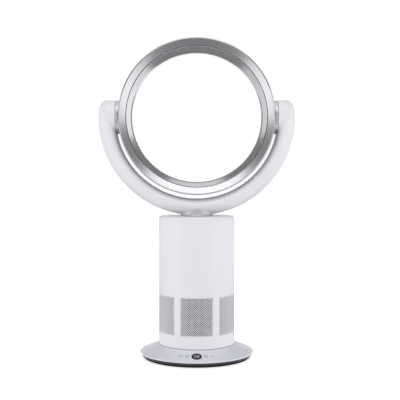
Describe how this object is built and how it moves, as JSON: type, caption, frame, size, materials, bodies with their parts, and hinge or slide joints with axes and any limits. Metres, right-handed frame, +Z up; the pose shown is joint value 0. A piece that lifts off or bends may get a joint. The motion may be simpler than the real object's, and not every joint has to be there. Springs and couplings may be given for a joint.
{
  "type": "bladeless fan",
  "caption": "Table fan with an annular nozzle that tilts in a crescent yoke, on a drum tower that swivels on a round touch-panel base.",
  "frame": {"origin": "on the table under the tower's swivel axis, at the foot pads' underside", "axes": "+Z up along the swivel axis, -Y to the front where the touch panel is, +X to the right as seen from the front"},
  "size_m": [0.374, 0.215, 0.6035],
  "materials": {
    "white_plastic": "moulded white ABS with a low sheen",
    "silver_paint": "plastic with a fine metallic silver paint",
    "grey_plastic": "moulded grey plastic with a satin metallic coat",
    "base_cover_paint": "pale silver-lilac satin paint",
    "black_plastic": "moulded black plastic",
    "rubber": "soft black rubber",
    "steel": "zinc-plated steel",
    "display_window": "polished smoked acrylic",
    "circuit_board": "glass-fibre board with a green solder mask",
    "acetal": "natural acetal"
  },
  "bodies": {
    "base": {"base_pan": "black_plastic", "base_cover": "base_cover_paint", "foot_pad_1": "rubber", "foot_pad_2": "rubber", "foot_pad_3": "rubber", "foot_pad_4": "rubber", "base_screw_1": "steel", "base_screw_2": "steel", "base_screw_3": "steel", "ballast_ring": "steel", "power_socket": "black_plastic", "swivel_motor": "steel", "slide_ring": "acetal", "display_window": "display_window", "control_board": "circuit_board", "display_module": "black_plastic", "touch_contact_1": "acetal", "touch_contact_2": "acetal", "touch_contact_3": "acetal", "touch_contact_4": "acetal"},
    "drive_pinion": {"swivel_pinion": "acetal", "swivel_shaft": "steel"},
    "tower": {"turntable": "black_plastic", "gear_sector": "acetal", "hub_retainer": "acetal", "retainer_screw_1": "steel", "retainer_screw_2": "steel", "retainer_screw_3": "steel", "tower_shell": "white_plastic", "intake_grille_1": "grey_plastic", "intake_grille_2": "grey_plastic", "intake_grille_3": "grey_plastic", "intake_grille_4": "grey_plastic", "intake_grille_5": "grey_plastic", "intake_grille_6": "grey_plastic", "tower_cap": "white_plastic", "driver_board": "circuit_board", "impeller_shroud": "black_plastic", "diffuser": "black_plastic", "fan_motor": "steel", "outlet_cone": "black_plastic", "neck_collar": "grey_plastic", "yoke_front_shell": "white_plastic", "yoke_rear_shell": "white_plastic", "yoke_screw_1": "steel", "yoke_screw_2": "steel", "yoke_screw_3": "steel", "yoke_screw_4": "steel", "pivot_bush_left": "acetal", "pivot_bush_right": "acetal"},
    "fan_rotor": {"impeller": "black_plastic", "motor_shaft": "steel"},
    "nozzle": {"nozzle_front_ring": "silver_paint", "nozzle_inner_ring": "silver_paint", "nozzle_outer_shell": "silver_paint", "trunnion_left": "grey_plastic", "trunnion_right": "grey_plastic", "trunnion_clip_left": "steel", "trunnion_clip_right": "steel"}
  },
  "joints": [
    {"name": "swivel", "type": "hinge", "parent": "base", "child": "tower", "pos_m": [0, 0, 0.028], "axis": [0, 0, 1], "range_deg": [-45, 45]},
    {"name": "pinion_turn", "type": "hinge", "parent": "base", "child": "drive_pinion", "pos_m": [0.036, 0, 0.022], "axis": [0, 0, 1], "range_deg": [-230, 230]},
    {"name": "fan_spin", "type": "hinge", "parent": "tower", "child": "fan_rotor", "pos_m": [0, 0, 0.16], "axis": [0, 0, 1], "continuous": true},
    {"name": "nozzle_tilt", "type": "hinge", "parent": "tower", "child": "nozzle", "pos_m": [0, 0, 0.4555], "axis": [1, 0, 0], "range_deg": [-30, 30]}
  ],
  "couplings": [
    {"joint": "pinion_turn", "follows": "swivel", "ratio": 5}
  ]
}
